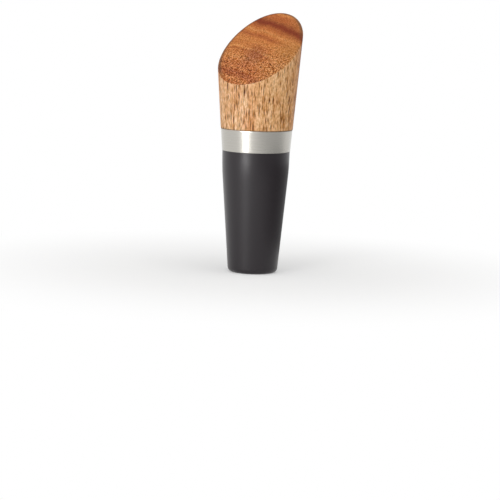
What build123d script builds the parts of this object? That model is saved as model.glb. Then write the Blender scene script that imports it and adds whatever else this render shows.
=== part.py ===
# A wooden bottle stopper: a slant-cut turned wooden head, a steel band and a tapered silicone plug.
# The plug grips a ribbed core, and one screw through the core's web holds it to the head.
# The stopper stands on the flat end of its plug. +Z runs up its axis, and +X is the head's high side.
import os
from math import cos, radians, sin, tan

from build123d import *

# Driving dimensions, in millimetres and degrees.
fit_gap = 0.05  # glue and assembly gap between pieces that fit together

plug_length = 36.0
plug_top_radius = 9.96
collar_height = 5.6  # nearly straight part just under the band
collar_draft = 1.3
plug_taper = 4.8
collar_blend_radius = 70.0
tip_round = 1.5

band_height = 6.4
band_wall = 0.8
band_step = 0.08  # the band stands this far outside the plug
band_edge = 0.15

head_step = 0.05  # the head stands this far outside the band
head_taper = 4.5  # the band has the same taper, so that head and band make one cone
cut_height = 23.3  # where the slanted face crosses the axis, above the band
cut_slope = 40.2
crown_radius = 140.0  # the slanted face is slightly crowned across its width
face_edge_round = 0.5
shoulder_round = 0.3
blank_spare = 1.0  # length of the turned blank above the finished face

flange_thickness = 2.0
stem_length = 28.0
plug_wall = 1.9  # silicone around the foot of the stem
stem_wall = 1.1
stem_chamfer = 0.6
barb_count = 3
barb_pitch = 6.0
barb_first = 5.0  # from the flange to the first barb
barb_length = 3.0
barb_height = 0.8
barb_land = 0.5
web_thickness = 5.0  # between the screw's head and the wood

screw_radius = 1.75
screw_length = 16.0
screw_point = 3.5
screw_head_radius = 3.2
screw_head_height = 2.2
screw_head_round = 0.6
recess_length = 3.6
recess_width = 0.9
recess_depth = 1.2
pilot_extra = 0.5  # the pilot hole is this much deeper than the screw's point

# Heights and radii that follow from them.
slope = tan(radians(head_taper))
collar_radius = plug_top_radius - collar_height * tan(radians(collar_draft))
foot_radius = collar_radius - (plug_length - collar_height) * tan(radians(plug_taper))
band_bottom = plug_length
band_top = band_bottom + band_height
band_bottom_radius = plug_top_radius + band_step
band_top_radius = band_bottom_radius + band_height * slope
head_bottom_radius = band_top_radius + head_step
flange_top = plug_length + flange_thickness
flange_radius = band_bottom_radius - band_wall - fit_gap
stem_bottom = plug_length - stem_length
stem_radius = foot_radius + stem_bottom * tan(radians(plug_taper)) - plug_wall
hollow_radius = stem_radius - stem_wall
seat = flange_top - web_thickness
screw_tip = seat + screw_length
cut_centre = band_top + cut_height
head_reach = (head_bottom_radius + cut_height * slope) / (1 - slope * tan(radians(cut_slope)))
blank_top = cut_centre + head_reach * tan(radians(cut_slope)) + blank_spare


def band_inner_radius(z):
    """Inside radius of the band at height z."""
    return band_bottom_radius - band_wall + (z - band_bottom) * slope


def stem_outline(gap):
    """Outline of the core's ribbed stem, foot to flange, grown by gap, as (radius, height) points."""
    barbs = []
    for number in range(barb_count):
        top = plug_length - barb_first - number * barb_pitch
        barbs = [
            (stem_radius + gap, top - barb_length - gap),
            (stem_radius + barb_height + gap, top - barb_land - gap),
            (stem_radius + barb_height + gap, top + gap),
            (stem_radius + gap, top + gap),
        ] + barbs
    foot = [
        (stem_radius - stem_chamfer + gap, stem_bottom - gap),
        (stem_radius + gap, stem_bottom + stem_chamfer - gap),
    ]
    return foot + barbs + [(stem_radius + gap, plug_length)]


# Wooden head: a turned cone, rebated for the band, cut on a slant and softened along the cut.
cut_plane = Plane(
    origin=(0, 0, cut_centre),
    x_dir=(0, 1, 0),
    z_dir=(cos(radians(cut_slope)), 0, sin(radians(cut_slope))),
)
with BuildPart() as wooden_head:
    with BuildSketch(Plane.XZ):
        with BuildLine():
            Polyline(
                (0, flange_top),
                (band_inner_radius(flange_top) - fit_gap, flange_top),
                (band_inner_radius(band_top) - fit_gap, band_top),
                (head_bottom_radius, band_top),
                (head_bottom_radius + (blank_top - band_top) * slope, blank_top),
                (0, blank_top),
                close=True,
            )
        make_face()
    revolve(axis=Axis.Z)
    shoulder = wooden_head.edges().filter_by(GeomType.CIRCLE).group_by(Axis.Z)[1].sort_by(SortBy.RADIUS)[-1]
    fillet(shoulder, shoulder_round)
    half_width = head_reach + blank_spare  # the cutter reaches past the blank on both sides
    drop = crown_radius - (crown_radius**2 - half_width**2) ** 0.5
    with BuildSketch(cut_plane):
        with BuildLine():
            ThreePointArc((-half_width, -drop), (0, 0), (half_width, -drop))
            Polyline(
                (half_width, -drop),
                (half_width, blank_top),
                (-half_width, blank_top),
                (-half_width, -drop),
            )
        make_face()
    extrude(amount=blank_top, both=True, mode=Mode.SUBTRACT)
    slanted_face = wooden_head.faces().sort_by(Axis.Z)[-1]
    fillet(slanted_face.edges(), face_edge_round)
    with BuildSketch(Plane.XZ):
        with BuildLine():
            Polyline(
                (0, flange_top),
                (screw_radius + fit_gap, flange_top),
                (screw_radius + fit_gap, screw_tip - screw_point + pilot_extra),
                (0, screw_tip + pilot_extra),
                close=True,
            )
        make_face()
    revolve(axis=Axis.Z, mode=Mode.SUBTRACT)

# Steel band: a thin tapered ring around the joint of head and plug.
with BuildPart() as steel_band:
    with BuildSketch(Plane.XZ):
        with BuildLine():
            Polyline(
                (band_bottom_radius - band_wall, band_bottom),
                (band_bottom_radius, band_bottom),
                (band_top_radius, band_top),
                (band_top_radius - band_wall, band_top),
                close=True,
            )
        rim = make_face()
        outer_corners = [rim.vertices().group_by(Axis.Y)[end].sort_by(Axis.X)[-1] for end in (0, -1)]
        fillet(outer_corners, band_edge)
    revolve(axis=Axis.Z)

# Silicone plug: a nearly straight collar that blends into the taper, moulded with a socket for the core.
with BuildPart() as silicone_plug:
    with BuildSketch(Plane.XZ) as profile:
        with BuildLine():
            Polyline(
                (0, 0),
                (foot_radius, 0),
                (collar_radius, plug_length - collar_height),
                (plug_top_radius, plug_length),
                (0, plug_length),
                close=True,
            )
        make_face()
        collar_corner = profile.vertices().sort_by_distance((collar_radius, plug_length - collar_height))[0]
        fillet(collar_corner, collar_blend_radius)
        foot_corner = profile.vertices().sort_by_distance((foot_radius, 0))[0]
        fillet(foot_corner, tip_round)
    revolve(axis=Axis.Z)
    with BuildSketch(Plane.XZ):
        with BuildLine():
            Polyline(
                (0, stem_bottom - fit_gap),
                *stem_outline(fit_gap),
                (0, plug_length),
                close=True,
            )
        make_face()
    revolve(axis=Axis.Z, mode=Mode.SUBTRACT)

# Core: a stiff flanged spigot with barbs that the silicone grips, hollow below its web.
with BuildPart() as core:
    with BuildSketch(Plane.XZ):
        with BuildLine():
            Polyline(
                (0, stem_bottom),
                *stem_outline(0),
                (flange_radius, plug_length),
                (flange_radius, flange_top),
                (0, flange_top),
                close=True,
            )
        make_face()
    revolve(axis=Axis.Z)
    with Locations(Location((0, 0, stem_bottom), (180, 0, 0))):
        Hole(hollow_radius, seat - stem_bottom)
    with Locations((0, 0, flange_top)):
        Hole(screw_radius + fit_gap, flange_top - seat)

# Screw: pan head against the web, point up in the head's pilot hole.
with BuildPart() as screw:
    with BuildSketch(Plane.XZ):
        with BuildLine():
            Polyline(
                (0, seat - screw_head_height),
                (screw_head_radius, seat - screw_head_height),
                (screw_head_radius, seat),
                (screw_radius, seat),
                (screw_radius, screw_tip - screw_point),
                (0, screw_tip),
                close=True,
            )
        make_face()
    revolve(axis=Axis.Z)
    fillet(screw.edges().filter_by(GeomType.CIRCLE).group_by(Axis.Z)[0], screw_head_round)
    with BuildSketch(Plane.XY.offset(seat - screw_head_height)):
        Rectangle(recess_length, recess_width)
        Rectangle(recess_width, recess_length)
    extrude(amount=recess_depth, mode=Mode.SUBTRACT)

pieces = {
    "wooden_head": wooden_head,
    "steel_band": steel_band,
    "silicone_plug": silicone_plug,
    "core": core,
    "screw": screw,
}
os.makedirs("parts", exist_ok=True)
for name, piece in pieces.items():
    piece.part.label = name
    export_step(piece.part, f"parts/{name}.step")
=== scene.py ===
from math import atan2, cos, radians, sin, tan

import bpy
from mathutils import Matrix, Vector


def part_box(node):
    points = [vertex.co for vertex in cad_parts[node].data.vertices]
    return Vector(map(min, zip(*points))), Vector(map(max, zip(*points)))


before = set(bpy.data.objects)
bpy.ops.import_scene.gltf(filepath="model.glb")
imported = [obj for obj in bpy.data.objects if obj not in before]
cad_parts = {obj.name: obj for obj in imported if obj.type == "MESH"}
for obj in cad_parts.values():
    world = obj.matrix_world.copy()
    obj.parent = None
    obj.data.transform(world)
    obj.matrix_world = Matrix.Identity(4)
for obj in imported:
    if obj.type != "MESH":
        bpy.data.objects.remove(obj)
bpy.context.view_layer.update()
print("frame loaded, pieces:", sorted(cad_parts))

scene = bpy.context.scene
scene.view_settings.view_transform = "Standard"

millimetre = 0.001
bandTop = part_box("steel_band")[1].z

# node settings that come back often
smooth = {"interpolation_type": "SMOOTHSTEP"}
times = {"operation": "MULTIPLY"}
minus = {"operation": "SUBTRACT"}
timesPlus = {"operation": "MULTIPLY_ADD"}
larger = {"operation": "MAXIMUM"}
dot = {"operation": "DOT_PRODUCT"}
distance = {"operation": "DISTANCE"}
asColour = {"data_type": "RGBA"}
asNumber = {"data_type": "FLOAT"}
level = (1.0, 1.0, 0.0)  # times this, a vector keeps X and Y and loses Z


def linearColour(hexText):  # from sRGB
    values = [int(hexText[i:i + 2], 16) / 255 for i in (1, 3, 5)]
    return [v / 12.92 if v <= 0.04045 else ((v + 0.055) / 1.055) ** 2.4 for v in values] + [1.0]


def addNode(tree, kind, settings=None, inputs=None, stops=None):
    node = tree.nodes.new(kind)
    for name, value in (settings or {}).items():
        setattr(node, name, value)
    for name, value in (inputs or {}).items():
        socket = node.inputs[name]
        if isinstance(value, bpy.types.NodeSocket):
            tree.links.new(value, socket)
        else:
            socket.default_value = value
    if stops:  # a ramp's stops as (place, colour)
        elements = node.color_ramp.elements
        while len(elements) < len(stops):
            elements.new(0.5)
        for element, (place, colour) in zip(elements, stops):
            element.position = place
            element.color = linearColour(colour)
    return node


def newMaterial(name):
    material = bpy.data.materials.new(name)
    material.use_nodes = True
    tree = material.node_tree
    tree.nodes.clear()
    return material, tree


def dress(nodeName, material):
    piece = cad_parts[nodeName]
    piece.data.materials.clear()
    piece.data.materials.append(material)


# Acacia, turned and sanded, then oiled. The grain runs up the axis, so the side shows
# long dark pores in pale honey wood, and the slanted face shows the cut ends: darker and
# redder, because they drink more oil, with speckles where the pores are cut across. Its
# fibres are about 0.02 mm wide and its pores 0.1 to 0.3 mm, which is too fine to show here,
# so both are drawn coarser. Lengths are in mm and places are X and Y. A share says how much
# of a colour is laid over what is there, and a reach where something starts and is full.
woodLook = {
    "sideStops": [(0.34, "#D89864"), (0.45, "#E9B27F"), (0.55, "#F4C699"), (0.66, "#FFE2BC")],
    "faceStops": [(0.36, "#9C5228"), (0.46, "#B96B36"), (0.54, "#C98042"), (0.64, "#D6985A")],
    "roughness": 0.5,
    "specular": 0.1,
    "relief": {"strength": 0.2, "depth": 0.03},
    "endGrainReach": (0.2, 0.6),  # in the normal's Z, so how far up the surface faces
    "rings": {
        "pith": (-137.0, 36.0),  # far away, so the rings cross the face from side to side
        "spacing": 2.4,
        "noise": {"Detail": 4.0, "Roughness": 0.6},
        "waver": 3.0,  # how far the rings stray
        "waverScale": (0.13, 0.13, 0.04),  # per mm, slow along the trunk
        "waverNoise": {"Detail": 2.0, "Roughness": 0.35},
    },
    "fibres": {
        "width": 0.3,
        "length": 7.0,
        "noise": {"Detail": 3.0, "Roughness": 0.65},
        "sideShare": 0.5,  # of the tone, and the rings give the rest
        "faceShare": 0.32,
    },
    "blotches": {
        "colour": "#D0854E",
        "width": 2.5,
        "length": 7.0,
        "noise": {"Detail": 2.0},
        "reach": (0.5, 0.68),  # in the noise
        "share": 0.5,
    },
    "gold": {  # yellower towards -Y, the side away from the key lamp: partly the wood's own tone, and on the side partly painted shading
        "sideColour": "#D6A468",
        "faceColour": "#BC8446",
        "reach": (-1.0, -12.0),  # in Y
        "sideShare": 0.45,
        "faceShare": 0.75,
    },
    "streak": {
        "colour": "#76240A",
        "at": 8.3,  # from the axis, towards the high side
        "width": 2.2,
        "share": 0.9,
        "redColour": "#B8602E",
        "redWidth": 6.5,
        "redShare": 0.4,
    },
    "patch": {"colour": "#7C4030", "at": (-2.2, 0.8), "radius": 5.0, "share": 0.55},
    "lowEnd": {
        "colour": "#AE6848",
        "reach": (3.0, -5.0),  # in X
        "share": 0.25,
        "leastSpeckle": 0.35,  # at the other end
    },
    "flecks": {
        "width": 0.4,
        "length": 0.9,
        "noise": {"Detail": 1.0},
        "reach": (0.38, 0.62),  # in the noise, from the darkest to the lightest
        "side": 0.2,  # how strong they are
        "face": 0.65,
        "tint": (0.7, 1.1, 1.8),  # the dark flecks are redder
    },
    "pores": {
        "colour": "#4E1800",
        # a radius is in cells, and open is how many of the cells hold a pore
        "wide": {"cell": 0.55, "radius": 0.44, "stretch": 7.5, "open": 0.3, "share": 1.0},
        "fine": {"cell": 0.34, "radius": 0.36, "stretch": 8.0, "open": 0.4, "share": 0.8},
        "least": 0.4,  # of the widest pore's radius
        "core": 0.5,  # of a pore's radius, within which it is darkest
        "cutAcross": 0.3,  # where the normal's Z is more than this, pores are cut across
        "spread": 1.3,  # how much wider they are there
        "column": 0.5,
        "columnShift": 10.0,  # at most, so pores in neighbouring columns don't line up
        "stainColour": "#B06A1C",  # the oil stains the wood around a pore
        "stainReach": 2.5,  # in radii
        "stainShare": 0.6,
        "sunk": 0.6,  # in the relief, where the fibres go from 0 to 1
    },
    # the face's rounded rim: darker partly from oil soaked into the cut fibres and partly by painted shade,
    # deepest round its high end
    "rim": {
        "colour": "#56402F",
        "reach": (1.25, 0.75),  # in from the head's side
        "share": 0.75,
        "fibreReach": (0.35, 0.65),  # the fibres make it uneven
        "fibreLeast": 0.7,
        "darkest": (0.8, 0.6, 0.0),  # the way to its darkest side, where the painted shade is deepest
        "darkestReach": (-4.0, 1.0),
        "darkestLeast": 0.1,
    },
    # where the wood meets the band, with a painted shadow 0.45 mm high and 0.85 strong in the rim's colour
    "foot": {"radius": 10.59, "taper": radians(4.5), "paintedShadow": 0.45, "share": 0.85},
}


def growRings(tree, rings, point):
    # rings round the far pith, straying slowly along the trunk
    wide = addNode(tree, "ShaderNodeVectorMath", times, {0: point, 1: rings["waverScale"]}).outputs[0]
    waver = addNode(tree, "ShaderNodeTexNoise", None,
                    {"Vector": wide, "Scale": 1.0, **rings["waverNoise"]}).outputs["Color"]
    centred = addNode(tree, "ShaderNodeVectorMath", minus, {0: waver, 1: (0.5, 0.5, 0.5)}).outputs[0]
    strayed = addNode(tree, "ShaderNodeVectorMath", timesPlus,
                      {0: centred, 1: (rings["waver"], rings["waver"], 0.0), 2: point}).outputs[0]
    plan = addNode(tree, "ShaderNodeVectorMath", times, {0: strayed, 1: level}).outputs[0]
    ring = addNode(tree, "ShaderNodeVectorMath", distance,
                   {0: plan, 1: (*rings["pith"], 0.0)}).outputs["Value"]
    tone = addNode(tree, "ShaderNodeTexNoise", {"noise_dimensions": "1D"},
                   {"W": ring, "Scale": 1 / rings["spacing"], **rings["noise"]}).outputs["Fac"]
    return plan, ring, tone


def readGrain(tree, look):
    # where a point lies in the wood, and what its rings and patterns are there
    place = addNode(tree, "ShaderNodeTexCoord").outputs
    point = addNode(tree, "ShaderNodeVectorMath", {"operation": "SCALE"},
                    {0: place["Object"], "Scale": 1 / millimetre}).outputs[0]
    up = addNode(tree, "ShaderNodeSeparateXYZ", None, {0: place["Normal"]}).outputs["Z"]
    start, full = look["endGrainReach"]
    endGrain = addNode(tree, "ShaderNodeMapRange", smooth,
                       {"Value": up, "From Min": start, "From Max": full}).outputs["Result"]
    parts = addNode(tree, "ShaderNodeSeparateXYZ", None, {0: point}).outputs
    plan, ring, ringTone = growRings(tree, look["rings"], point)
    grain = {
        "point": point,  # in mm
        "parts": parts,
        "up": up,
        "endGrain": endGrain,
        "plan": plan,
        "ring": ring,
        "ringTone": ringTone,
    }

    # three patterns, each drawn out along the grain to its own width and length
    for name in ("fibres", "blotches", "flecks"):
        pattern = look[name]
        scale = (1 / pattern["width"], 1 / pattern["width"], 1 / pattern["length"])
        drawnOut = addNode(tree, "ShaderNodeVectorMath", times, {0: point, 1: scale}).outputs[0]
        grain[name] = addNode(tree, "ShaderNodeTexNoise", None,
                              {"Vector": drawnOut, "Scale": 1.0, **pattern["noise"]}).outputs["Fac"]
    return grain


def colourWood(tree, look, grain):
    # rings and fibres together choose the tone, on the side and on the face
    fibres = look["fibres"]
    fibreShare = addNode(tree, "ShaderNodeMapRange", None,
                         {"Value": grain["endGrain"], "To Min": fibres["sideShare"],
                          "To Max": fibres["faceShare"]}).outputs["Result"]
    tone = addNode(tree, "ShaderNodeMix", asNumber,
                   {"Factor": fibreShare, "A": grain["ringTone"], "B": grain["fibres"]}).outputs["Result"]
    side = addNode(tree, "ShaderNodeValToRGB", None, {"Fac": tone}, look["sideStops"]).outputs["Color"]
    face = addNode(tree, "ShaderNodeValToRGB", None, {"Fac": tone}, look["faceStops"]).outputs["Color"]

    # redder blotches on the side
    blotches = look["blotches"]
    start, full = blotches["reach"]
    blotch = addNode(tree, "ShaderNodeMapRange", smooth,
                     {"Value": grain["blotches"], "From Min": start, "From Max": full,
                      "To Max": blotches["share"]}).outputs["Result"]
    side = addNode(tree, "ShaderNodeMix", asColour,
                   {"Factor": blotch, 6: side, 7: linearColour(blotches["colour"])}).outputs[2]
    colour = addNode(tree, "ShaderNodeMix", asColour,
                     {"Factor": grain["endGrain"], 6: side, 7: face}).outputs[2]

    # the yellower wood towards -Y, which on the side is partly painted shading
    gold = look["gold"]
    start, full = gold["reach"]
    most = addNode(tree, "ShaderNodeMapRange", None,
                   {"Value": grain["endGrain"], "To Min": gold["sideShare"],
                    "To Max": gold["faceShare"]}).outputs["Result"]
    golden = addNode(tree, "ShaderNodeMapRange", smooth,
                     {"Value": grain["parts"]["Y"], "From Min": start, "From Max": full,
                      "To Max": most}).outputs["Result"]
    goldColour = addNode(tree, "ShaderNodeMix", asColour,
                         {"Factor": grain["endGrain"], 6: linearColour(gold["sideColour"]),
                          7: linearColour(gold["faceColour"])}).outputs[2]
    return addNode(tree, "ShaderNodeMix", asColour, {"Factor": golden, 6: colour, 7: goldColour}).outputs[2]


def addStreak(tree, look, grain, colour):
    # one wide late ring of dark red, with redder wood beside it
    streak = look["streak"]
    middle = Vector(look["rings"]["pith"]).length + streak["at"]
    off = addNode(tree, "ShaderNodeMath", minus, {0: grain["ring"], 1: middle}).outputs[0]
    off = addNode(tree, "ShaderNodeMath", {"operation": "ABSOLUTE"}, {0: off}).outputs[0]
    red = addNode(tree, "ShaderNodeMapRange", smooth,
                  {"Value": off, "From Max": streak["redWidth"], "To Min": streak["redShare"],
                   "To Max": 0.0}).outputs["Result"]
    colour = addNode(tree, "ShaderNodeMix", asColour,
                     {"Factor": red, 6: colour, 7: linearColour(streak["redColour"])}).outputs[2]
    dark = addNode(tree, "ShaderNodeMapRange", smooth,
                   {"Value": off, "From Max": streak["width"], "To Min": streak["share"],
                    "To Max": 0.0}).outputs["Result"]
    colour = addNode(tree, "ShaderNodeMix", asColour,
                     {"Factor": dark, 6: colour, 7: linearColour(streak["colour"])}).outputs[2]
    return colour, dark


def addPatch(tree, patch, grain, colour):
    # a purplish patch in the middle of the face
    away = addNode(tree, "ShaderNodeVectorMath", distance,
                   {0: grain["plan"], 1: (*patch["at"], 0.0)}).outputs["Value"]
    share = addNode(tree, "ShaderNodeMapRange", smooth,
                    {"Value": away, "From Max": patch["radius"], "To Min": patch["share"],
                     "To Max": 0.0}).outputs["Result"]
    share = addNode(tree, "ShaderNodeMath", times, {0: share, 1: grain["endGrain"]}).outputs[0]
    return addNode(tree, "ShaderNodeMix", asColour,
                   {"Factor": share, 6: colour, 7: linearColour(patch["colour"])}).outputs[2]


def addLowEnd(tree, lowEnd, grain, colour):
    # the face's low end is redder and more speckled
    start, full = lowEnd["reach"]
    low = addNode(tree, "ShaderNodeMapRange", smooth,
                  {"Value": grain["parts"]["X"], "From Min": start, "From Max": full,
                   "To Min": lowEnd["leastSpeckle"], "To Max": 1.0}).outputs["Result"]
    share = addNode(tree, "ShaderNodeMapRange", None,
                    {"Value": low, "From Min": lowEnd["leastSpeckle"], "From Max": 1.0,
                     "To Max": lowEnd["share"]}).outputs["Result"]
    share = addNode(tree, "ShaderNodeMath", times, {0: share, 1: grain["endGrain"]}).outputs[0]
    colour = addNode(tree, "ShaderNodeMix", asColour,
                     {"Factor": share, 6: colour, 7: linearColour(lowEnd["colour"])}).outputs[2]
    speckle = addNode(tree, "ShaderNodeMix", asNumber,
                      {"Factor": grain["endGrain"], "A": 1.0, "B": low}).outputs["Result"]
    return colour, speckle


def addFlecks(tree, flecks, grain, colour, speckle):
    # lighter and darker flecks
    darkest, lightest = flecks["reach"]
    fleck = addNode(tree, "ShaderNodeMapRange", None,
                    {"Value": grain["flecks"], "From Min": darkest, "From Max": lightest,
                     "To Min": -1.0, "To Max": 1.0}).outputs["Result"]
    depth = addNode(tree, "ShaderNodeMix", asNumber,
                    {"Factor": grain["endGrain"], "A": flecks["side"],
                     "B": flecks["face"]}).outputs["Result"]
    depth = addNode(tree, "ShaderNodeMath", times, {0: depth, 1: speckle}).outputs[0]
    fleck = addNode(tree, "ShaderNodeMath", times, {0: fleck, 1: depth}).outputs[0]
    tint = addNode(tree, "ShaderNodeVectorMath", timesPlus,
                   {0: fleck, 1: flecks["tint"], 2: (1.0, 1.0, 1.0)}).outputs[0]
    return addNode(tree, "ShaderNodeVectorMath", times, {0: colour, 1: tint}).outputs[0]


def unrollSide(tree, look, grain):
    # the head's side laid flat, with each narrow column pushed up by its own amount
    pores = look["pores"]
    parts = grain["parts"]
    angle = addNode(tree, "ShaderNodeMath", {"operation": "ARCTAN2"},
                    {0: parts["Y"], 1: parts["X"]}).outputs[0]
    around = addNode(tree, "ShaderNodeMath", times, {0: angle, 1: look["foot"]["radius"]}).outputs[0]
    column = addNode(tree, "ShaderNodeMath", {"operation": "DIVIDE"},
                     {0: around, 1: pores["column"]}).outputs[0]
    column = addNode(tree, "ShaderNodeMath", {"operation": "FLOOR"}, {0: column}).outputs[0]
    chance = addNode(tree, "ShaderNodeTexWhiteNoise", {"noise_dimensions": "1D"},
                     {"W": column}).outputs["Value"]
    raised = addNode(tree, "ShaderNodeMath", timesPlus,
                     {0: chance, 1: pores["columnShift"], 2: parts["Z"]}).outputs[0]
    return addNode(tree, "ShaderNodeCombineXYZ", None, {"X": around, "Y": raised}).outputs[0]


def addPores(tree, look, grain, colour, speckle, streak):
    # cells, long ones up the side and round ones on the face, and some of them hold a pore
    pores = look["pores"]
    height = grain["fibres"]
    onSide = unrollSide(tree, look, grain)
    cut = addNode(tree, "ShaderNodeMath", {"operation": "GREATER_THAN"},
                  {0: grain["up"], 1: pores["cutAcross"]}).outputs[0]
    unstained = addNode(tree, "ShaderNodeMath", larger, {0: cut, 1: streak}).outputs[0]
    stained = addNode(tree, "ShaderNodeMath", minus, {0: 1.0, 1: unstained}).outputs[0]
    spread = addNode(tree, "ShaderNodeMapRange", None,
                     {"Value": cut, "To Min": 1.0, "To Max": pores["spread"]}).outputs["Result"]
    for kind in (pores["wide"], pores["fine"]):
        shortened = addNode(tree, "ShaderNodeVectorMath", times,
                            {0: onSide, 1: (1.0, 1 / kind["stretch"], 1.0)}).outputs[0]
        place = addNode(tree, "ShaderNodeMix", {"data_type": "VECTOR"},
                        {"Factor": cut, 4: shortened, 5: grain["point"]}).outputs[1]
        cells = addNode(tree, "ShaderNodeTexVoronoi", {"voronoi_dimensions": "2D", "feature": "F1"},
                        {"Vector": place, "Scale": 1 / kind["cell"], "Randomness": 1.0}).outputs
        chance = addNode(tree, "ShaderNodeSeparateColor", None, {0: cells["Color"]}).outputs
        radius = addNode(tree, "ShaderNodeMapRange", None,
                         {"Value": chance[0], "To Min": kind["radius"] * pores["least"],
                          "To Max": kind["radius"]}).outputs["Result"]
        radius = addNode(tree, "ShaderNodeMath", times, {0: radius, 1: spread}).outputs[0]
        opened = addNode(tree, "ShaderNodeMath", {"operation": "LESS_THAN"},
                         {0: chance[1], 1: kind["open"]}).outputs[0]

        # the stain around a pore
        stainReach = addNode(tree, "ShaderNodeMath", times, {0: radius, 1: pores["stainReach"]}).outputs[0]
        stain = addNode(tree, "ShaderNodeMapRange", smooth,
                        {"Value": cells["Distance"], "From Min": radius, "From Max": stainReach,
                         "To Min": kind["share"] * pores["stainShare"], "To Max": 0.0}).outputs["Result"]
        stain = addNode(tree, "ShaderNodeMath", times, {0: stain, 1: opened}).outputs[0]
        stain = addNode(tree, "ShaderNodeMath", times, {0: stain, 1: stained}).outputs[0]
        colour = addNode(tree, "ShaderNodeMix", asColour,
                         {"Factor": stain, 6: colour, 7: linearColour(pores["stainColour"])}).outputs[2]

        # the pore itself
        core = addNode(tree, "ShaderNodeMath", times, {0: radius, 1: pores["core"]}).outputs[0]
        shown = addNode(tree, "ShaderNodeMath", times, {0: opened, 1: speckle}).outputs[0]
        pore = addNode(tree, "ShaderNodeMapRange", smooth,
                       {"Value": cells["Distance"], "From Min": core, "From Max": radius,
                        "To Min": kind["share"], "To Max": 0.0}).outputs["Result"]
        pore = addNode(tree, "ShaderNodeMath", times, {0: pore, 1: shown}).outputs[0]
        colour = addNode(tree, "ShaderNodeMix", asColour,
                         {"Factor": pore, 6: colour, 7: linearColour(pores["colour"])}).outputs[2]
        height = addNode(tree, "ShaderNodeMath", timesPlus,
                         {0: pore, 1: -pores["sunk"], 2: height}).outputs[0]
    return colour, height


def darkenRimAndPaintShade(tree, look, grain, colour):
    # the rounded rim of the slanted face is darker, partly from oil soaked into the cut fibres and partly as
    # painted shade, which is deepest round its high end
    rim, foot = look["rim"], look["foot"]
    footHeight = bandTop / millimetre
    slope = tan(foot["taper"])
    flat = addNode(tree, "ShaderNodeVectorMath", times, {0: grain["point"], 1: level}).outputs[0]
    fromAxis = addNode(tree, "ShaderNodeVectorMath", {"operation": "LENGTH"}, {0: flat}).outputs["Value"]
    coneRadius = addNode(tree, "ShaderNodeMath", timesPlus,
                         {0: grain["parts"]["Z"], 1: slope,
                          2: foot["radius"] - footHeight * slope}).outputs[0]
    inside = addNode(tree, "ShaderNodeMath", minus, {0: coneRadius, 1: fromAxis}).outputs[0]
    start, full = rim["reach"]
    share = addNode(tree, "ShaderNodeMapRange", smooth,
                    {"Value": inside, "From Min": full, "From Max": start, "To Min": rim["share"],
                     "To Max": 0.0}).outputs["Result"]
    start, full = rim["fibreReach"]
    uneven = addNode(tree, "ShaderNodeMapRange", None,
                     {"Value": grain["fibres"], "From Min": start, "From Max": full,
                      "To Min": rim["fibreLeast"], "To Max": 1.0}).outputs["Result"]
    share = addNode(tree, "ShaderNodeMath", times, {0: share, 1: uneven}).outputs[0]
    share = addNode(tree, "ShaderNodeMath", times, {0: share, 1: grain["endGrain"]}).outputs[0]
    # painted shade on the rim, deepest round its high end
    along = addNode(tree, "ShaderNodeVectorMath", dot,
                    {0: grain["point"], 1: rim["darkest"]}).outputs["Value"]
    start, full = rim["darkestReach"]
    paintedShadeSide = addNode(tree, "ShaderNodeMapRange", None,
                      {"Value": along, "From Min": start, "From Max": full,
                       "To Min": rim["darkestLeast"], "To Max": 1.0}).outputs["Result"]
    share = addNode(tree, "ShaderNodeMath", times, {0: share, 1: paintedShadeSide}).outputs[0]

    # and the wood's foot, where it meets the band, gets a painted shadow in the rim's colour
    paintedShadow = addNode(tree, "ShaderNodeMapRange", smooth,
                    {"Value": grain["parts"]["Z"], "From Min": footHeight + foot["paintedShadow"],
                     "From Max": footHeight, "To Max": foot["share"]}).outputs["Result"]
    share = addNode(tree, "ShaderNodeMath", larger, {0: share, 1: paintedShadow}).outputs[0]
    return addNode(tree, "ShaderNodeMix", asColour,
                   {"Factor": share, 6: colour, 7: linearColour(rim["colour"])}).outputs[2]


def makeWood(look):
    material, tree = newMaterial("oiledAcacia")
    grain = readGrain(tree, look)
    colour = colourWood(tree, look, grain)
    colour, streak = addStreak(tree, look, grain, colour)
    colour = addPatch(tree, look["patch"], grain, colour)
    colour, speckle = addLowEnd(tree, look["lowEnd"], grain, colour)
    colour = addFlecks(tree, look["flecks"], grain, colour, speckle)
    colour, height = addPores(tree, look, grain, colour, speckle, streak)
    colour = darkenRimAndPaintShade(tree, look, grain, colour)
    relief = addNode(tree, "ShaderNodeBump", None,
                     {"Height": height, "Strength": look["relief"]["strength"],
                      "Distance": look["relief"]["depth"] * millimetre}).outputs[0]
    shader = addNode(tree, "ShaderNodeBsdfPrincipled", None,
                     {"Base Color": colour, "Roughness": look["roughness"],
                      "Specular IOR Level": look["specular"], "Normal": relief})
    addNode(tree, "ShaderNodeOutputMaterial", None, {"Surface": shader.outputs[0]})
    return material


dress("wooden_head", makeWood(woodLook))
print("wood done")

# Stainless steel, brushed around. Fine lines run round the band and smear the lights up and
# down, so that it shows pale upright stripes. Real brushing is about 0.05 mm apart, which is
# too fine to show here, so the lines are drawn coarser.
steelLook = {
    "name": "brushedStainless",
    "colour": "#BCB9B2",
    "lineSpacing": 0.12,  # mm
    "lineLength": 12.0,  # mm
    "roughness": 0.26,
    "roughnessSpread": 0.05,
    "edgeRoughness": 0.4,  # more, on the cut edges, which aren't brushed
    "edgeReach": (0.2, 0.6),  # in the normal's Z, up or down
    "relief": {"strength": 0.08, "depth": 0.01},  # mm
    "anisotropy": 0.6,
    "smearTurn": 0.25,  # of a full turn
}


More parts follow.
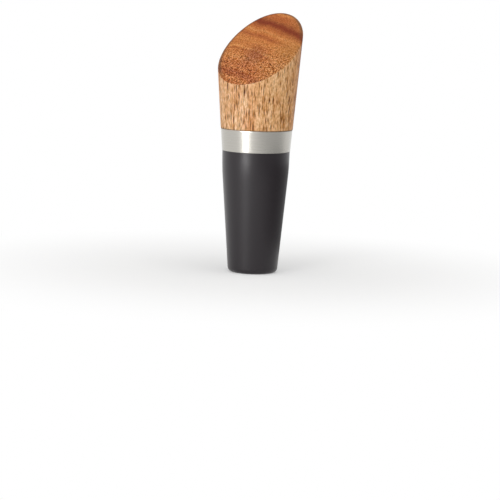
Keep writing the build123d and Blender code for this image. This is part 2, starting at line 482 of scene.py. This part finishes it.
def makeSteel(look):
    material, tree = newMaterial(look["name"])
    place = addNode(tree, "ShaderNodeTexCoord").outputs
    across = 1 / (look["lineSpacing"] * millimetre)
    along = 1 / (look["lineLength"] * millimetre)
    linePlace = addNode(tree, "ShaderNodeVectorMath", times,
                        {0: place["Object"], 1: (along, along, across)}).outputs[0]
    brush = addNode(tree, "ShaderNodeTexNoise", None,
                    {"Vector": linePlace, "Scale": 1.0, "Detail": 2.0}).outputs["Fac"]
    roughness = addNode(tree, "ShaderNodeMapRange", None,
                        {"Value": brush, "To Min": look["roughness"] - look["roughnessSpread"],
                         "To Max": look["roughness"] + look["roughnessSpread"]}).outputs["Result"]
    up = addNode(tree, "ShaderNodeSeparateXYZ", None, {0: place["Normal"]}).outputs["Z"]
    up = addNode(tree, "ShaderNodeMath", {"operation": "ABSOLUTE"}, {0: up}).outputs[0]
    start, full = look["edgeReach"]
    dullness = addNode(tree, "ShaderNodeMapRange", smooth,
                       {"Value": up, "From Min": start, "From Max": full,
                        "To Max": look["edgeRoughness"]}).outputs["Result"]
    roughness = addNode(tree, "ShaderNodeMath", {"operation": "ADD"}, {0: roughness, 1: dullness}).outputs[0]
    relief = addNode(tree, "ShaderNodeBump", None,
                     {"Height": brush, "Strength": look["relief"]["strength"],
                      "Distance": look["relief"]["depth"] * millimetre}).outputs[0]
    around = addNode(tree, "ShaderNodeTangent", {"direction_type": "RADIAL", "axis": "Z"}).outputs[0]
    shader = addNode(tree, "ShaderNodeBsdfPrincipled", None,
                     {"Base Color": linearColour(look["colour"]), "Metallic": 1.0, "Roughness": roughness,
                      "Anisotropic": look["anisotropy"], "Anisotropic Rotation": look["smearTurn"],
                      "Normal": relief, "Tangent": around})
    addNode(tree, "ShaderNodeOutputMaterial", None, {"Surface": shader.outputs[0]})
    return material


dress("steel_band", makeSteel(steelLook))
print("band done")

# Silicone rubber, moulded. A soft charcoal with a faint purple cast and a broad, dull highlight.
# The mould's skin is finer than a pixel, so its grain is drawn coarser.
siliconeLook = {
    "name": "mouldedSilicone",
    "colour": "#1A1118",
    "grain": 0.35,  # mm
    "roughness": 0.3,
    "roughnessSpread": 0.05,
    "relief": {"strength": 0.1, "depth": 0.03},  # mm
}


def makeMoulded(look):
    material, tree = newMaterial(look["name"])
    place = addNode(tree, "ShaderNodeTexCoord").outputs["Object"]
    scale = 1 / (look["grain"] * millimetre)
    skin = addNode(tree, "ShaderNodeTexNoise", None,
                   {"Vector": place, "Scale": scale, "Detail": 3.0}).outputs["Fac"]
    roughness = addNode(tree, "ShaderNodeMapRange", None,
                        {"Value": skin, "To Min": look["roughness"] - look["roughnessSpread"],
                         "To Max": look["roughness"] + look["roughnessSpread"]}).outputs["Result"]
    relief = addNode(tree, "ShaderNodeBump", None,
                     {"Height": skin, "Strength": look["relief"]["strength"],
                      "Distance": look["relief"]["depth"] * millimetre}).outputs[0]
    shader = addNode(tree, "ShaderNodeBsdfPrincipled", None,
                     {"Base Color": linearColour(look["colour"]), "Roughness": roughness, "Normal": relief})
    addNode(tree, "ShaderNodeOutputMaterial", None, {"Surface": shader.outputs[0]})
    return material


dress("silicone_plug", makeMoulded(siliconeLook))
print("plug done")

# Inside, out of sight: the core of moulded nylon, a plain satin grey, and the screw of
# zinc-plated steel, a cool bright grey with faint turning lines. Their grain and lines are
# drawn coarser too.
coreLook = {**siliconeLook, "name": "mouldedNylon", "colour": "#3C3C3C", "grain": 0.5, "roughness": 0.45}
screwLook = {
    **steelLook,
    "name": "zincPlatedSteel",
    "colour": "#C4C6C8",
    "lineSpacing": 0.2,  # mm
    "lineLength": 20.0,  # mm
    "roughness": 0.35,
    "edgeRoughness": 0.0,
    "anisotropy": 0.0,
}
dress("core", makeMoulded(coreLook))
dress("screw", makeSteel(screwLook))
print("core and screw done")

# Camera, at the photograph's viewing angle.
cameraSetup = {
    "lens": 182.9,  # mm
    "sensor": 36.0,  # mm
    "distance": 0.7493,  # m, from the band's top
    "elevation": radians(4.4),
    "heading": radians(30.4),
    "roll": radians(1.79),
    "bandTopPixel": (256.72, 129.0),  # where the middle of the band's top is in the picture
    "imageSize": 500,
    "clip": (0.01, 50.0),  # m
}


def placeCamera(setup):
    data = bpy.data.cameras.new("stopperCamera")
    data.lens = setup["lens"]
    data.sensor_width = setup["sensor"]
    data.clip_start, data.clip_end = setup["clip"]
    camera = bpy.data.objects.new("stopperCamera", data)
    scene.collection.objects.link(camera)
    scene.camera = camera
    target = Vector((0, 0, bandTop))
    rise, heading = setup["elevation"], setup["heading"]
    sight = Vector((cos(rise) * cos(heading), cos(rise) * sin(heading), -sin(rise)))

    # the camera turns so that the target falls on its pixel and the stopper leans by the roll
    half = setup["imageSize"] / 2
    focal = setup["lens"] / setup["sensor"] * setup["imageSize"]
    px, py = setup["bandTopPixel"]
    ray = Vector((px - half, half - py, -focal)).normalized()
    lean = Vector((sin(setup["roll"]), cos(setup["roll"]), 0))
    lean = (lean - lean.dot(ray) * ray).normalized()
    up = (Vector((0, 0, 1)) - sight.z * sight).normalized()
    inCamera = Matrix((ray, lean, ray.cross(lean))).transposed()
    inWorld = Matrix((sight, up, sight.cross(up))).transposed()
    turn = inWorld @ inCamera.transposed()
    camera.matrix_world = Matrix.Translation(target - setup["distance"] * sight) @ turn.to_4x4()
    return sight


sight = placeCamera(cameraSetup)
print("camera placed")

# Light: a tall softbox left of the camera, a brighter one beside it that only mirrors see, a wide
# one overhead and an even pale room. To the right stand two curved dark gauzes that only mirrors
# see, each thickest in its middle: a far one that darkens the band and a low near one that darkens
# the plug. A turn of 0 is towards the camera and a positive one goes to its right. Lengths are
# in m and powers in W.
lightSetup = {
    "softboxes": {
        "tallBox": {"turn": radians(-29), "rise": radians(20), "away": 0.55, "size": (0.18, 0.5),
                    "power": 0.9, "mirrorOnly": False},
        "tallShine": {"turn": radians(-36), "rise": radians(24), "away": 0.54, "size": (0.18, 0.5),
                      "power": 6.8, "mirrorOnly": True},
        "topBox": {"turn": radians(20), "rise": radians(80), "away": 0.8, "size": (0.5, 0.5),
                   "power": 2.2, "mirrorOnly": False},
    },
    "gauzes": {
        "farGauze": {"turn": radians(52), "reach": radians(65), "away": 0.13, "height": 0.15,
                     "darkness": 0.38},
        "nearGauze": {"turn": radians(110), "reach": radians(100), "away": 0.04, "height": 0.029,
                      "darkness": 0.62},
    },
    "gauzeFolds": 26,
    "gauzeColour": "#101010",
    "roomColour": "#FFFFFF",
    "ambient": 0.48,  # the room's light on the stopper
    "frontGlow": 0.7,  # what mirrors see behind the camera
    "backGlow": 1.0,  # and behind the stopper
    "glowReach": (-0.4, 0.5),  # along the sight, from front to back
}


def outFrom(turn, rise):
    angle = atan2(-sight.y, -sight.x) + turn
    return Vector((cos(rise) * cos(angle), cos(rise) * sin(angle), sin(rise)))


def hangSoftbox(name, box):
    data = bpy.data.lights.new(name, "AREA")
    data.shape = "RECTANGLE"
    data.size, data.size_y = box["size"]
    data.energy = box["power"]
    lamp = bpy.data.objects.new(name, data)
    out = outFrom(box["turn"], box["rise"])
    lamp.location = Vector((0, 0, bandTop)) + out * box["away"]
    lamp.rotation_mode = "QUATERNION"
    lamp.rotation_quaternion = out.to_track_quat("Z", "Y")
    lamp.visible_diffuse = not box["mirrorOnly"]
    scene.collection.objects.link(lamp)


def hangGauze(name, gauze, folds, colour):
    corners = []
    for i in range(folds + 1):
        foot = outFrom(gauze["turn"] + gauze["reach"] * (2 * i / folds - 1), 0) * gauze["away"]
        corners += [foot, foot + Vector((0, 0, gauze["height"]))]
    mesh = bpy.data.meshes.new(name)
    mesh.from_pydata(corners, [], [(2 * i, 2 * i + 2, 2 * i + 3, 2 * i + 1) for i in range(folds)])
    screen = bpy.data.objects.new(name, mesh)
    scene.collection.objects.link(screen)
    material, tree = newMaterial(name)
    place = addNode(tree, "ShaderNodeTexCoord").outputs["Object"]
    flat = addNode(tree, "ShaderNodeVectorMath", times, {0: place, 1: level}).outputs[0]
    flat = addNode(tree, "ShaderNodeVectorMath", {"operation": "NORMALIZE"}, {0: flat}).outputs[0]
    towards = addNode(tree, "ShaderNodeVectorMath", dot,
                      {0: flat, 1: outFrom(gauze["turn"], 0)}).outputs["Value"]
    thick = addNode(tree, "ShaderNodeMapRange", smooth,
                    {"Value": towards, "From Min": cos(gauze["reach"]), "From Max": 1.0,
                     "To Max": gauze["darkness"]}).outputs["Result"]
    clear = addNode(tree, "ShaderNodeBsdfTransparent").outputs[0]
    black = addNode(tree, "ShaderNodeBsdfDiffuse", None, {"Color": linearColour(colour)}).outputs[0]
    mixed = addNode(tree, "ShaderNodeMixShader", None, {0: thick, 1: clear, 2: black})
    addNode(tree, "ShaderNodeOutputMaterial", None, {"Surface": mixed.outputs[0]})
    mesh.materials.append(material)
    for ray in ("camera", "diffuse", "shadow", "transmission"):
        setattr(screen, "visible_" + ray, False)


def glowRoom(setup):
    world = bpy.data.worlds.new("paleRoom")
    scene.world = world
    world.use_nodes = True
    tree = world.node_tree
    tree.nodes.clear()
    path = addNode(tree, "ShaderNodeLightPath").outputs
    direction = addNode(tree, "ShaderNodeTexCoord").outputs["Generated"]
    away = addNode(tree, "ShaderNodeVectorMath", dot,
                   {0: direction, 1: Vector((sight.x, sight.y, 0)).normalized()}).outputs["Value"]
    start, full = setup["glowReach"]
    glow = addNode(tree, "ShaderNodeMapRange", smooth,
                   {"Value": away, "From Min": start, "From Max": full, "To Min": setup["frontGlow"],
                    "To Max": setup["backGlow"]}).outputs["Result"]
    mirror = addNode(tree, "ShaderNodeMath", larger,
                     {0: path["Is Glossy Ray"], 1: path["Is Transmission Ray"]}).outputs[0]
    strength = addNode(tree, "ShaderNodeMix", asNumber,
                       {"Factor": mirror, "A": setup["ambient"], "B": glow}).outputs["Result"]
    strength = addNode(tree, "ShaderNodeMix", asNumber,
                       {"Factor": path["Is Camera Ray"], "A": strength, "B": 1.0}).outputs["Result"]
    back = addNode(tree, "ShaderNodeBackground", None,
                   {"Color": linearColour(setup["roomColour"]), "Strength": strength})
    addNode(tree, "ShaderNodeOutputWorld", None, {"Surface": back.outputs[0]})


def lightStudio(setup):
    for name, box in setup["softboxes"].items():
        hangSoftbox(name, box)
    for name, gauze in setup["gauzes"].items():
        hangGauze(name, gauze, setup["gauzeFolds"], setup["gauzeColour"])
    glowRoom(setup)


lightStudio(lightSetup)
print("lights placed")

# Floor: a plain pale sheet that fades to white away from the stopper and keeps its shadow.
# Lengths are in m.
floorSetup = {
    "halfSide": 3.0,
    "below": 0.00002,  # so that it doesn't share the plug's flat end
    "colour": "#F6F6F5",
    "fadeColour": "#FFFFFF",
    "fade": (0.02, 0.11),
    "fadeLeast": 0.35,
}


def layFloor(setup):
    side, z = setup["halfSide"], -setup["below"]
    mesh = bpy.data.meshes.new("paleFloor")
    corners = [(-side, -side, z), (side, -side, z), (side, side, z), (-side, side, z)]
    mesh.from_pydata(corners, [], [(0, 1, 2, 3)])
    floor = bpy.data.objects.new("paleFloor", mesh)
    scene.collection.objects.link(floor)
    material, tree = newMaterial("paleFloor")
    place = addNode(tree, "ShaderNodeTexCoord").outputs["Object"]
    away = addNode(tree, "ShaderNodeVectorMath", {"operation": "LENGTH"}, {0: place}).outputs["Value"]
    start, full = setup["fade"]
    fade = addNode(tree, "ShaderNodeMapRange", smooth,
                   {"Value": away, "From Min": start, "From Max": full,
                    "To Min": setup["fadeLeast"]}).outputs["Result"]
    matte = addNode(tree, "ShaderNodeBsdfDiffuse", None, {"Color": linearColour(setup["colour"])}).outputs[0]
    white = addNode(tree, "ShaderNodeEmission", None,
                    {"Color": linearColour(setup["fadeColour"]), "Strength": 1.0}).outputs[0]
    path = addNode(tree, "ShaderNodeLightPath").outputs
    seen = addNode(tree, "ShaderNodeMath", larger,
                   {0: path["Is Camera Ray"], 1: path["Is Glossy Ray"]}).outputs[0]
    seen = addNode(tree, "ShaderNodeMath", larger,
                   {0: seen, 1: path["Is Transmission Ray"]}).outputs[0]
    share = addNode(tree, "ShaderNodeMath", times, {0: fade, 1: seen}).outputs[0]
    mixed = addNode(tree, "ShaderNodeMixShader", None, {0: share, 1: matte, 2: white})
    addNode(tree, "ShaderNodeOutputMaterial", None, {"Surface": mixed.outputs[0]})
    mesh.materials.append(material)


layFloor(floorSetup)
print("floor laid")
